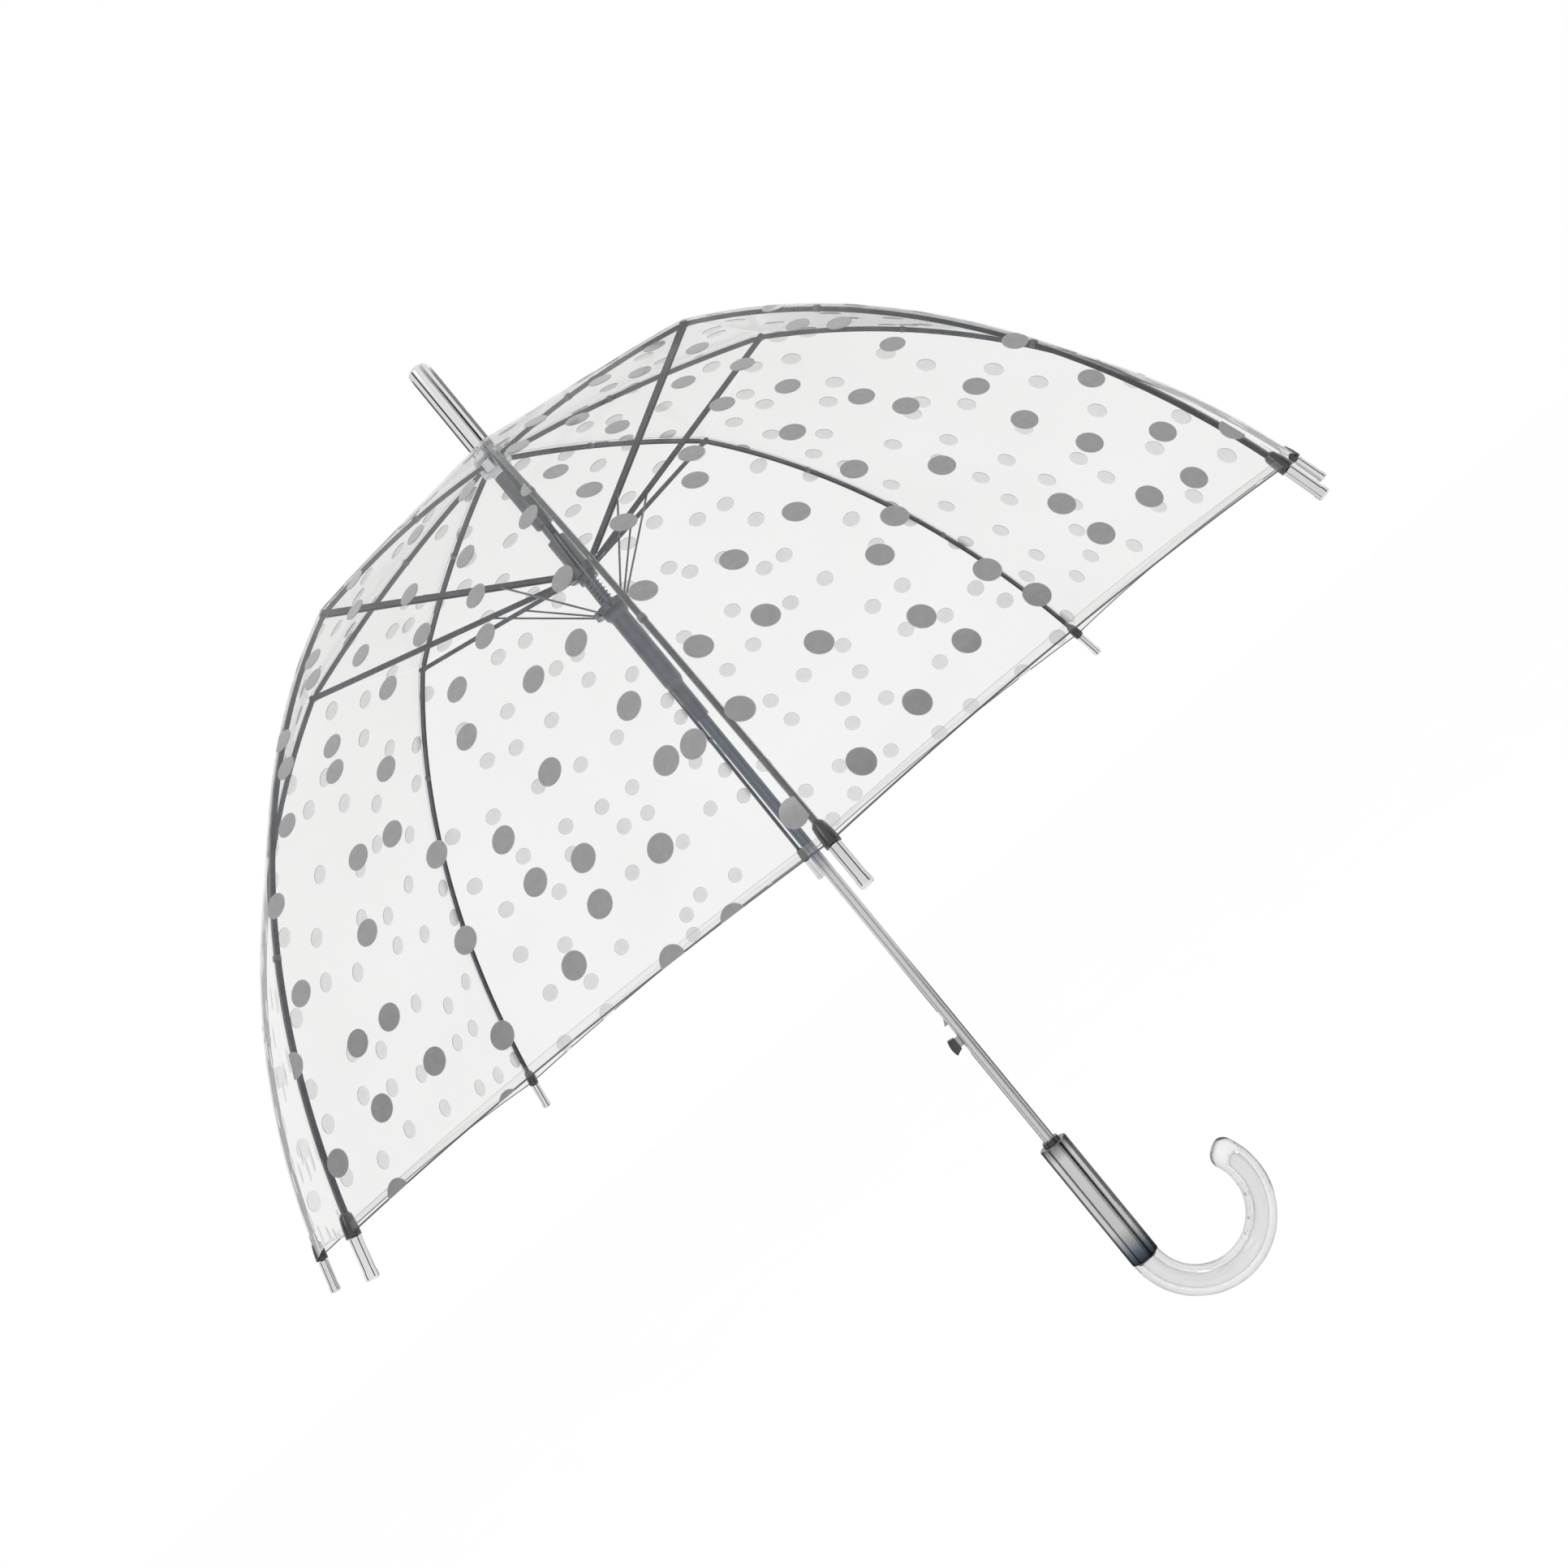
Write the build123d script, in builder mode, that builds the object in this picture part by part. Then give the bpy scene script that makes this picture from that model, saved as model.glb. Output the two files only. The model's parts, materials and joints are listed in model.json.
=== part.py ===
"""Clear dome umbrella with a crook handle, open.

+Z runs up the shaft to the ferrule. The origin is on the shaft's axis, at the foot of the ferrule.
A rib's plane holds the shaft's axis and that rib: its x is the distance from the axis, its y is height.
All sizes are in millimetres and degrees.
"""

import os
from collections import namedtuple
from math import atan2, cos, degrees, hypot, radians, sin

from build123d import *

os.makedirs("parts", exist_ok=True)

# ---------------------------------------------------------------- driving dimensions
RIB_COUNT = 8
FIRST_RIB = -90  # azimuth of rib 1
HALF_GORE = 180 / RIB_COUNT

SHAFT_R = 4.0
SHAFT_WALL = 0.6
SHAFT_TOP = 40.0
SHAFT_END = -645.0

PIVOT_R = 9.5  # ring of rib pivots on the crown, and of stretcher pivots on the runner
CROWN_Z = -9.0
ELBOW = (193.3, -56.5)  # rib elbow, where the stretcher is riveted
TIP = (420.0, -354.0)  # end of the rib, level with the hem
UPPER_TURN = 11.0
LOWER_TURN = 44.0

RIB_WIDTH = 2.7
RIB_DEPTH = 2.6
STRETCHER_WIDTH = 4.2
STRETCHER_DEPTH = 3.0
SHEET = 0.6  # wall of the pressed channels
EYE_R = 2.1
TONGUE = 1.2
HUB_TONGUE = 1.6
RIVET_R = 0.8
RUNNING = 0.07  # radial clearance of a moving pin
WIRE_R = 0.6

FILM_GAP = 2.7  # rib centreline to the film's inner face
FILM = 0.6
HEM_TRIM = 6.0
FILM_HOLE_R = 4.4

LINK_SHARE = 61.0  # runner pivot to link pivot, along the stretcher
LINK_R = 0.7
LOWER_PIVOT_R = 12.5
LOWER_DROP = 31.0  # runner pivots to link pivots, down the shaft

FERRULE_R = 8.4
FERRULE_TOP = 70.0
TIP_TOP = 74.0

GRIP_R = 10.5
GRIP_TOP = -595.0
GRIP_END = -690.0
SPIGOT_R = 8.5
SPIGOT_TOP = -612.0
HOOK_R = 10.2
HOOK_BEND = 43.5
HOOK_TURN = 215.0
HOOK_NOSE = 7.0  # rounding of the crook's free end
COLLAR_R = 6.4
COLLAR_LIP = 3.0

LATCH_PIVOT_Z = -530.0
CATCH_Z = -492.0
BUTTON_Z = -505.0

# ---------------------------------------------------------------- the rib's line
Arc = namedtuple("Arc", "centre radius first turn")


def bow(start, end, turn):
    """The arc from start to end that turns clockwise by turn degrees."""
    run, rise = end[0] - start[0], end[1] - start[1]
    radius = hypot(run, rise) / 2 / sin(radians(turn / 2))
    first = degrees(atan2(rise, run)) + turn / 2 + 90
    centre = (
        start[0] - radius * cos(radians(first)),
        start[1] - radius * sin(radians(first)),
    )
    return Arc(centre, radius, first, turn)


def beside(arc, angle, out):
    """The point at that angle of the arc, out from its line."""
    reach = arc.radius + out
    return (
        arc.centre[0] + reach * cos(radians(angle)),
        arc.centre[1] + reach * sin(radians(angle)),
    )


def trimmed(arc, lead, trail):
    """First angle and size of the arc with those lengths left off its ends."""
    return (
        arc.first - degrees(lead / arc.radius),
        arc.turn - degrees((lead + trail) / arc.radius),
    )


CROWN = (PIVOT_R, CROWN_Z)
RUN = ELBOW[0] - PIVOT_R
DROP = CROWN_Z - ELBOW[1]
RUNNER_Z = ELBOW[1] - DROP
RUNNER = (PIVOT_R, RUNNER_Z)
LOWER_Z = RUNNER_Z - LOWER_DROP
STRETCHER_LENGTH = hypot(RUN, DROP)
STRETCHER_RISE = degrees(atan2(DROP, RUN))
UPPER = bow(CROWN, ELBOW, UPPER_TURN)
LOWER = bow(ELBOW, TIP, LOWER_TURN)
TIP_HEADING = LOWER.first - LOWER.turn - 90


def rib_plane(number):
    """The plane of rib number 1, 2, ...: x out from the shaft, y up."""
    azimuth = radians(FIRST_RIB + 360 / RIB_COUNT * (number - 1))
    return Plane(
        origin=(0, 0, 0),
        x_dir=(cos(azimuth), sin(azimuth), 0),
        z_dir=(sin(azimuth), -cos(azimuth), 0),
    )


def band(arc, outer, inner, lead, trail):
    """Sketches a curved strip along an arc, between two distances from its line."""
    first, size = trimmed(arc, lead, trail)
    with BuildLine() as edge:
        top = CenterArc(arc.centre, arc.radius + outer, first, -size)
        low = CenterArc(arc.centre, arc.radius + inner, first, -size)
        Line(top @ 0, low @ 0)
        Line(top @ 1, low @ 1)
    make_face(edge.edges())


def save(part, name):
    part.label = name
    export_step(part, f"parts/{name}.step")


# ---------------------------------------------------------------- shaft and ferrule
with BuildPart() as shaft:
    with BuildSketch(Plane.XY.offset(SHAFT_END)):
        Circle(SHAFT_R)
        Circle(SHAFT_R - SHAFT_WALL, mode=Mode.SUBTRACT)
    extrude(amount=SHAFT_TOP - SHAFT_END)
    # one slot lets the catch and the button's stem out on the -X side
    with BuildSketch(Plane.YZ):
        with Locations((0, (CATCH_Z + BUTTON_Z) / 2)):
            SlotOverall(36, 3.8, rotation=90)
    extrude(amount=-2 * SHAFT_R, mode=Mode.SUBTRACT)
save(shaft.part, "shaft")

with BuildPart() as ferrule:
    with BuildSketch():
        Circle(FERRULE_R)
        Circle(SHAFT_R, mode=Mode.SUBTRACT)
    extrude(amount=FERRULE_TOP)
    with BuildSketch(Plane.XY.offset(SHAFT_TOP)):
        Circle(FERRULE_R - 1.2)
    extrude(amount=FERRULE_TOP - SHAFT_TOP, mode=Mode.SUBTRACT)
save(ferrule.part, "ferrule")

with BuildPart() as ferrule_tip:
    with BuildSketch(Plane.XZ):
        with BuildLine():
            Line((0, FERRULE_TOP - 8), (FERRULE_R - 1.2, FERRULE_TOP - 8))
            Line((FERRULE_R - 1.2, FERRULE_TOP - 8), (FERRULE_R - 1.2, FERRULE_TOP))
            Line((FERRULE_R - 1.2, FERRULE_TOP), (FERRULE_R, FERRULE_TOP))
            Line((FERRULE_R, FERRULE_TOP), (FERRULE_R, FERRULE_TOP + 1.5))
            ThreePointArc(
                (FERRULE_R, FERRULE_TOP + 1.5), (FERRULE_R - 1.0, TIP_TOP - 0.9), (FERRULE_R - 3.4, TIP_TOP)
            )
            Line((FERRULE_R - 3.4, TIP_TOP), (0, TIP_TOP))
            Line((0, TIP_TOP), (0, FERRULE_TOP - 8))
        make_face()
    revolve(axis=Axis.Z)
save(ferrule_tip.part, "ferrule_tip")

with BuildPart() as top_washer:
    with BuildSketch(Plane.XZ):
        with BuildLine():
            Line((SHAFT_R, 0), (FERRULE_R, 0))
            ThreePointArc((FERRULE_R, 0), (10.6, -1.2), (11.6, -4.2))
            Line((11.6, -4.2), (SHAFT_R, -4.2))
            Line((SHAFT_R, -4.2), (SHAFT_R, 0))
        make_face()
    revolve(axis=Axis.Z)
save(top_washer.part, "top_washer")

# ---------------------------------------------------------------- crown and its ring wire
CROWN_R = 11.9
CROWN_TOP = -7.3
CROWN_FOOT = -14.2
SLOT_WIDTH = 2.2
SLOT_FLOOR_R = 7.0
SLEEVE_FOOT = -64.0
BORE_R = SHAFT_R + 0.1


def slots(floor_r, rim_r, width):
    """Sketches the slots of a hub, one in each rib's plane."""
    with PolarLocations((floor_r + rim_r) / 2 + 1, RIB_COUNT, start_angle=FIRST_RIB):
        Rectangle(rim_r - floor_r + 2, width)


with BuildPart() as crown:
    with BuildSketch(Plane.XY.offset(CROWN_FOOT)):
        Circle(CROWN_R)
    extrude(amount=CROWN_TOP - CROWN_FOOT)
    fillet(crown.edges().group_by(Axis.Z)[0], 1.0)
    with BuildSketch(Plane.XY.offset(CROWN_FOOT - 5)):
        Circle(6.6)
    extrude(amount=6)
    with BuildSketch(Plane.XY.offset(CROWN_FOOT - 6)):
        Circle(SHAFT_R)
    extrude(amount=20, mode=Mode.SUBTRACT)
    with BuildSketch(Plane.XY.offset(CROWN_FOOT - 1)):
        slots(SLOT_FLOOR_R, CROWN_R, SLOT_WIDTH)
    extrude(amount=10, mode=Mode.SUBTRACT)
    with Locations((0, 0, CROWN_Z)):
        Torus(PIVOT_R, WIRE_R + 0.02, mode=Mode.SUBTRACT)
save(crown.part, "crown")

with BuildPart() as crown_sleeve:
    with BuildSketch(Plane.XY.offset(SLEEVE_FOOT)):
        Circle(6.8)
    extrude(amount=CROWN_FOOT - 5 - SLEEVE_FOOT)
    fillet(crown_sleeve.edges().group_by(Axis.Z)[0], 0.8)
    with BuildSketch(Plane.XY.offset(SLEEVE_FOOT - 1)):
        Circle(BORE_R)
    extrude(amount=60, mode=Mode.SUBTRACT)
save(crown_sleeve.part, "crown_sleeve")

with BuildPart() as crown_wire:
    with Locations((0, 0, CROWN_Z)):
        Torus(PIVOT_R, WIRE_R)
save(crown_wire.part, "crown_wire")

# ---------------------------------------------------------------- runners and the opening spring
FLANGE_HALF = 3.2
RUNNER_TUBE_R = 7.1

with BuildPart() as upper_runner:
    with BuildSketch(Plane.XY.offset(RUNNER_Z - 8)):
        Circle(RUNNER_TUBE_R)
    extrude(amount=36)
    with BuildSketch(Plane.XY.offset(RUNNER_Z - FLANGE_HALF)):
        Circle(CROWN_R)
    extrude(amount=2 * FLANGE_HALF)
    fillet(upper_runner.edges().filter_by(GeomType.CIRCLE).group_by(SortBy.RADIUS)[-1], 0.8)
    with BuildSketch(Plane.XY.offset(RUNNER_Z - 10)):
        Circle(BORE_R)
    extrude(amount=40, mode=Mode.SUBTRACT)
    with BuildSketch(Plane.XY.offset(RUNNER_Z - FLANGE_HALF - 1)):
        slots(RUNNER_TUBE_R + 0.2, CROWN_R, SLOT_WIDTH)
    extrude(amount=2 * FLANGE_HALF + 2, mode=Mode.SUBTRACT)
    with Locations((0, 0, RUNNER_Z)):
        Torus(PIVOT_R, WIRE_R + 0.02, mode=Mode.SUBTRACT)
save(upper_runner.part, "upper_runner")

with BuildPart() as runner_wire:
    with Locations((0, 0, RUNNER_Z)):
        Torus(PIVOT_R, WIRE_R)
save(runner_wire.part, "runner_wire")

LOWER_RIM_R = LOWER_PIVOT_R + 1.3
LOWER_RIM_HALF = 2.2
SPRING_BORE_R = 5.3
SPRING_FLOOR = -170.0
SLEEVE_STEP = -200.0
SLEEVE_END = -231.0
WINDOW_TOP = -217.0

with BuildPart() as lower_runner:
    with BuildSketch(Plane.XZ):
        with BuildLine():
            Polyline(
                (BORE_R, SLEEVE_END),
                (5.4, SLEEVE_END),
                (5.4, SLEEVE_STEP - 4),
                (7.0, SLEEVE_STEP),
                (7.0, LOWER_Z - 9),
                (9.0, LOWER_Z - 6),
                (9.0, LOWER_Z - LOWER_RIM_HALF),
                (LOWER_RIM_R, LOWER_Z - LOWER_RIM_HALF),
                (LOWER_RIM_R, LOWER_Z + LOWER_RIM_HALF),
                (6.6, LOWER_Z + LOWER_RIM_HALF),
                (6.2, LOWER_Z + 3),
                (SPRING_BORE_R, LOWER_Z + 3),
                (SPRING_BORE_R, SPRING_FLOOR),
                (BORE_R, SPRING_FLOOR),
                close=True,
            )
        make_face()
    revolve(axis=Axis.Z)
    with BuildSketch(Plane.XY.offset(LOWER_Z - LOWER_RIM_HALF - 1)):
        slots(LOWER_PIVOT_R - 1.4, LOWER_RIM_R, SLOT_WIDTH)
    extrude(amount=2 * LOWER_RIM_HALF + 2, mode=Mode.SUBTRACT)
    # notch at the sleeve's end that the catch rises into
    with BuildSketch(Plane.YZ):
        with Locations((0, (WINDOW_TOP + SLEEVE_END) / 2 - 2)):
            Rectangle(4.4, WINDOW_TOP - SLEEVE_END + 4)
    extrude(amount=-10, mode=Mode.SUBTRACT)
save(lower_runner.part, "lower_runner")

SPRING_TOP = RUNNER_Z - 8.4
SPRING_WIRE_R = 0.36
SPRING_MEAN_R = 4.75
SPRING_PITCH = 3.0

with BuildPart() as opening_spring:
    with BuildLine() as coil:
        Helix(
            pitch=SPRING_PITCH,
            height=SPRING_TOP - SPRING_FLOOR - 1.2,
            radius=SPRING_MEAN_R,
            center=(0, 0, SPRING_FLOOR + 0.6),
        )
    with BuildSketch(Plane(origin=coil.line @ 0, z_dir=coil.line % 0)):
        Circle(SPRING_WIRE_R)
    sweep(path=coil.line, is_frenet=True)
save(opening_spring.part, "opening_spring")

# ---------------------------------------------------------------- latch in the shaft
with BuildPart() as latch_blade:
    with BuildSketch(Plane.XZ):
        with BuildLine():
            Polyline(
                (-2.3, LATCH_PIVOT_Z - 3),
                (-2.3, BUTTON_Z - 3.6),
                (-6.3, BUTTON_Z - 3.6),
                (-6.3, BUTTON_Z + 3.4),
                (-2.3, BUTTON_Z + 3.4),
                (-2.3, CATCH_Z + 0.3),
                (-6.2, CATCH_Z + 0.3),
                (-2.3, CATCH_Z + 7.4),
                (-1.6, CATCH_Z + 7.4),
                (-1.6, LATCH_PIVOT_Z - 3),
                close=True,
            )
        make_face()
    extrude(amount=1.4, both=True)
save(latch_blade.part, "latch_blade")

with BuildPart() as latch_button:
    with BuildSketch(Plane.XZ):
        with BuildLine():
            Line((-6.3, BUTTON_Z + 4.2), (-6.3, BUTTON_Z - 4.4))
            Line((-6.3, BUTTON_Z - 4.4), (-11.6, BUTTON_Z - 6.6))
            ThreePointArc((-11.6, BUTTON_Z - 6.6), (-12.4, BUTTON_Z - 0.6), (-11.0, BUTTON_Z + 5.0))
            Line((-11.0, BUTTON_Z + 5.0), (-6.3, BUTTON_Z + 4.2))
        make_face()
    extrude(amount=2.8, both=True)
    fillet(latch_button.edges().group_by(Axis.X)[0], 0.8)
save(latch_button.part, "latch_button")

# ---------------------------------------------------------------- handle
with BuildPart() as handle_collar:
    with BuildSketch(Plane.XY.offset(SPIGOT_TOP)):
        Circle(SPIGOT_R)
    extrude(amount=GRIP_TOP - SPIGOT_TOP)
    with BuildSketch(Plane.XY.offset(GRIP_TOP)):
        Circle(COLLAR_R)
    extrude(amount=COLLAR_LIP, taper=10)
    with BuildSketch(Plane.XY.offset(SPIGOT_TOP - 1)):
        Circle(SHAFT_R)
    extrude(amount=30, mode=Mode.SUBTRACT)
save(handle_collar.part, "handle_collar")

with BuildPart() as handle_sleeve:
    with BuildSketch(Plane.XY.offset(GRIP_END)):
        Circle(GRIP_R)
    extrude(amount=GRIP_TOP - GRIP_END)
    fillet(handle_sleeve.edges().group_by(Axis.Z)[-1], 1.4)
    with BuildSketch(Plane.XY.offset(GRIP_END)):
        Circle(SPIGOT_R)
    extrude(amount=GRIP_TOP - GRIP_END, mode=Mode.SUBTRACT)
save(handle_sleeve.part, "handle_sleeve")

with BuildPart() as handle_hook:
    with BuildSketch(Plane.XY.offset(GRIP_END)):
        Circle(HOOK_R)
    revolve(axis=Axis((HOOK_BEND, 0, GRIP_END), (0, -1, 0)), revolution_arc=HOOK_TURN)
    hook_end = handle_hook.faces().filter_by(GeomType.PLANE).sort_by(Axis.Z)[-1]
    if abs(hook_end.center().Z - GRIP_END) < 0.01:
        hook_end = handle_hook.faces().filter_by(GeomType.PLANE).sort_by(Axis.X)[-1]
    fillet(hook_end.edges(), HOOK_NOSE)
    with BuildSketch(Plane.XY.offset(GRIP_END)):
        Circle(SPIGOT_R)
    extrude(amount=SPIGOT_TOP - GRIP_END)
    with BuildSketch(Plane.XY.offset(SPIGOT_TOP)):
        Circle(SHAFT_R)
    extrude(amount=SHAFT_END - SPIGOT_TOP, mode=Mode.SUBTRACT)
save(handle_hook.part, "handle_hook")

# ---------------------------------------------------------------- ribs, stretchers and links
TONGUE_END = 4.5  # elbow to the end of the rib's channel
WEB_START = 8.0
HUB_CLEAR = 6.0
TIP_SEAT = 4.0
TIP_LENGTH = 18.0
TIP_R = 3.3
SEAT_BORE_R = 1.95

for number in range(1, RIB_COUNT + 1):
    plane = rib_plane(number)

    with BuildPart() as rib_upper:
        with BuildSketch(plane):
            band(UPPER, RIB_DEPTH / 2, -RIB_DEPTH / 2, HUB_CLEAR, TONGUE_END)
        extrude(amount=RIB_WIDTH / 2, both=True)
        with BuildSketch(plane):
            band(UPPER, RIB_DEPTH / 2 - SHEET, -RIB_DEPTH / 2, HUB_CLEAR + 3, TONGUE_END + 3)
        extrude(amount=RIB_WIDTH / 2 - SHEET, both=True, mode=Mode.SUBTRACT)
        with BuildSketch(plane):
            band(UPPER, 1.2, -1.2, 0, UPPER.radius * radians(UPPER.turn) - HUB_CLEAR - 1)
            with Locations(CROWN):
                Circle(EYE_R)
                Circle(WIRE_R + 0.2, mode=Mode.SUBTRACT)
        extrude(amount=HUB_TONGUE / 2, both=True)
        with BuildSketch(plane):
            band(UPPER, 1.2, -1.2, UPPER.radius * radians(UPPER.turn) - TONGUE_END - 1, 0)
            with Locations(ELBOW):
                Circle(EYE_R)
                Circle(RIVET_R, mode=Mode.SUBTRACT)
        extrude(amount=TONGUE / 2, both=True)
    # the rivet is a solid of its own, pressed into the rib's tongue
    with BuildPart() as rivet:
        with BuildSketch(plane):
            with Locations(ELBOW):
                Circle(RIVET_R)
        extrude(amount=STRETCHER_WIDTH / 2 + 0.6, both=True)
        for side in (1, -1):
            with BuildSketch(plane.offset(side * (STRETCHER_WIDTH / 2 + 0.1))):
                with Locations(ELBOW):
                    Circle(1.5)
            extrude(amount=side * 0.5)
    save(Compound(children=[*rib_upper.part.solids(), *rivet.part.solids()]), f"rib_upper_{number}")

    with BuildPart() as rib_lower:
        with BuildSketch(plane):
            band(LOWER, RIB_DEPTH / 2, -RIB_DEPTH / 2, 0, 0)
            with Locations(ELBOW):
                Circle(EYE_R)
        extrude(amount=RIB_WIDTH / 2, both=True)
        with BuildSketch(plane):
            band(LOWER, RIB_DEPTH / 2 - SHEET, -RIB_DEPTH / 2, TONGUE_END, TIP_SEAT)
            with Locations(ELBOW):
                Circle(TONGUE_END + 1)
        extrude(amount=TONGUE / 2 + 0.15, both=True, mode=Mode.SUBTRACT)
        with BuildSketch(plane):
            with Locations(ELBOW):
                Circle(RIVET_R + RUNNING)
        extrude(amount=RIB_WIDTH, both=True, mode=Mode.SUBTRACT)
    save(rib_lower.part, f"rib_lower_{number}")

    tip_axis = Plane(
        origin=plane.from_local_coords(Vector(*TIP)),
        x_dir=plane.z_dir,
        z_dir=plane.from_local_coords(
            Vector(cos(radians(TIP_HEADING)), sin(radians(TIP_HEADING)))
        ),
    )
    with BuildPart() as tip_cap:
        with BuildSketch(tip_axis.offset(-TIP_SEAT)):
            Circle(TIP_R)
        extrude(amount=TIP_SEAT + TIP_LENGTH)
        with BuildSketch(tip_axis.offset(TIP_LENGTH - 4)):
            Circle(TIP_R + 0.3)
        extrude(amount=4)
        far = tip_cap.faces().filter_by(GeomType.PLANE).sort_by(Axis(tip_axis.origin, tip_axis.z_dir))[-1]
        fillet(far.edges(), 1.2)
        with BuildSketch(tip_axis.offset(-TIP_SEAT)):
            Circle(SEAT_BORE_R)
        extrude(amount=TIP_SEAT + 0.3, mode=Mode.SUBTRACT)
    save(tip_cap.part, f"tip_cap_{number}")

    # along the stretcher: x from the runner's pivot to the elbow, y up and away from the shaft
    along = plane * Location((PIVOT_R, RUNNER_Z, 0), (0, 0, STRETCHER_RISE))
    with BuildPart() as stretcher:
        with BuildSketch(along):
            with Locations((STRETCHER_LENGTH / 2 + HUB_CLEAR / 2, 0)):
                Rectangle(STRETCHER_LENGTH - HUB_CLEAR, STRETCHER_DEPTH)
            with Locations((STRETCHER_LENGTH, 0)):
                Circle(EYE_R)
        extrude(amount=STRETCHER_WIDTH / 2, both=True)
        with BuildSketch(along):
            with Locations((STRETCHER_LENGTH / 2 + HUB_CLEAR / 2, -SHEET / 2 - 0.5)):
                Rectangle(STRETCHER_LENGTH - HUB_CLEAR - 8, STRETCHER_DEPTH - SHEET + 1)
            with Locations((STRETCHER_LENGTH, 0)):
                Rectangle(2 * WEB_START, STRETCHER_DEPTH + 4)
        extrude(amount=STRETCHER_WIDTH / 2 - SHEET, both=True, mode=Mode.SUBTRACT)
        with BuildSketch(along):
            with Locations((HUB_CLEAR / 2 + 0.5, 0)):
                Rectangle(HUB_CLEAR + 1, 2.4)
            Circle(EYE_R - 0.2)
            Circle(WIRE_R + 0.2, mode=Mode.SUBTRACT)
        extrude(amount=HUB_TONGUE / 2, both=True)
        with BuildSketch(along):
            with Locations((STRETCHER_LENGTH, 0)):
                Circle(RIVET_R + RUNNING)
            with Locations((LINK_SHARE, 0)):
                Circle(0.5 + RUNNING)
        extrude(amount=STRETCHER_WIDTH, both=True, mode=Mode.SUBTRACT)
    save(stretcher.part, f"stretcher_{number}")

    top_x = PIVOT_R + LINK_SHARE * cos(radians(STRETCHER_RISE))
    top_y = RUNNER_Z + LINK_SHARE * sin(radians(STRETCHER_RISE))
    link_top = plane.from_local_coords(Vector(top_x, top_y))
    link_foot = plane.from_local_coords(Vector(LOWER_PIVOT_R, LOWER_Z))
    with BuildPart() as link:
        with BuildSketch(Plane(origin=link_foot, z_dir=link_top - link_foot)):
            Circle(LINK_R)
        extrude(amount=(link_top - link_foot).length)
        with Locations(link_foot, link_top):
            Sphere(LINK_R)
        with BuildSketch(plane):
            with Locations((top_x, top_y)):
                Circle(0.5)
        extrude(amount=STRETCHER_WIDTH / 2 + 0.3, both=True)
    save(link.part, f"link_{number}")

# ---------------------------------------------------------------- canopy
KINK = (UPPER.first - UPPER.turn + LOWER.first) / 2
KINK_SPREAD = cos(radians((LOWER.first - UPPER.first + UPPER.turn) / 2))
SHRINK = cos(radians(HALF_GORE))
GORE_REACH = TIP[0] * sin(radians(HALF_GORE)) + 5


def film_line(out):
    """Five points of the gore's middle, out from the ribs' line: top, bend, elbow, bend, hem."""
    first, size = trimmed(LOWER, 0, HEM_TRIM)
    start = beside(UPPER, UPPER.first, out)
    slope = UPPER.first - 90
    top = (0, start[1] - start[0] * sin(radians(slope)) / cos(radians(slope)))
    at_elbow = out / KINK_SPREAD
    elbow = (
        ELBOW[0] + at_elbow * cos(radians(KINK)),
        ELBOW[1] + at_elbow * sin(radians(KINK)),
    )
    points = [
        top,
        start,
        beside(UPPER, UPPER.first - UPPER.turn / 2, out),
        elbow,
        beside(LOWER, first - size / 2, out),
        beside(LOWER, first - size, out),
    ]
    return [(x * SHRINK, y) for x, y in points]


gore_plane = Plane(
    origin=(0, 0, 0),
    x_dir=(cos(radians(FIRST_RIB + HALF_GORE)), sin(radians(FIRST_RIB + HALF_GORE)), 0),
    z_dir=(sin(radians(FIRST_RIB + HALF_GORE)), -cos(radians(FIRST_RIB + HALF_GORE)), 0),
)
inner, outer = film_line(FILM_GAP), film_line(FILM_GAP + FILM)
with BuildPart() as gore:
    with BuildSketch(gore_plane):
        with BuildLine():
            for line in (inner, outer):
                Line(line[0], line[1])
                ThreePointArc(line[1], line[2], line[3])
                ThreePointArc(line[3], line[4], line[5])
            Line(inner[0], outer[0])
            Line(inner[5], outer[5])
        make_face()
    extrude(amount=GORE_REACH, both=True)
    # keep the wedge between two ribs' planes
    wedge = Plane(origin=(0, 0, -400), x_dir=gore_plane.x_dir, z_dir=(0, 0, 1))
    with BuildSketch(wedge):
        with BuildLine():
            Polyline((0, 0), (500, -500 * sin(radians(HALF_GORE)) / SHRINK),
                     (500, 500 * sin(radians(HALF_GORE)) / SHRINK), close=True)
        make_face()
    extrude(amount=450, mode=Mode.INTERSECT)
    with BuildSketch(Plane.XY.offset(-20)):
        Circle(FILM_HOLE_R)
    extrude(amount=30, mode=Mode.SUBTRACT)
gores = [gore.part.rotate(Axis.Z, 360 / RIB_COUNT * turn) for turn in range(RIB_COUNT)]
save(Compound(children=[solid for part in gores for solid in part.solids()]), "canopy")
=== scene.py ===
"""The looks of a clear dome umbrella with grey dots: its film, its metals and its clear crook.

All lengths are in metres, in the row frame: +Z up the shaft, +X the way the crook opens.
The film is made of pieces centred on the ribs, each reaching half a gore to either side,
so that every piece follows one rib when the umbrella folds.
"""

import json
import random
from math import atan2, cos, hypot, pi, radians, sin, tan

import bmesh
import bpy
from mathutils import Matrix, Vector


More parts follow.
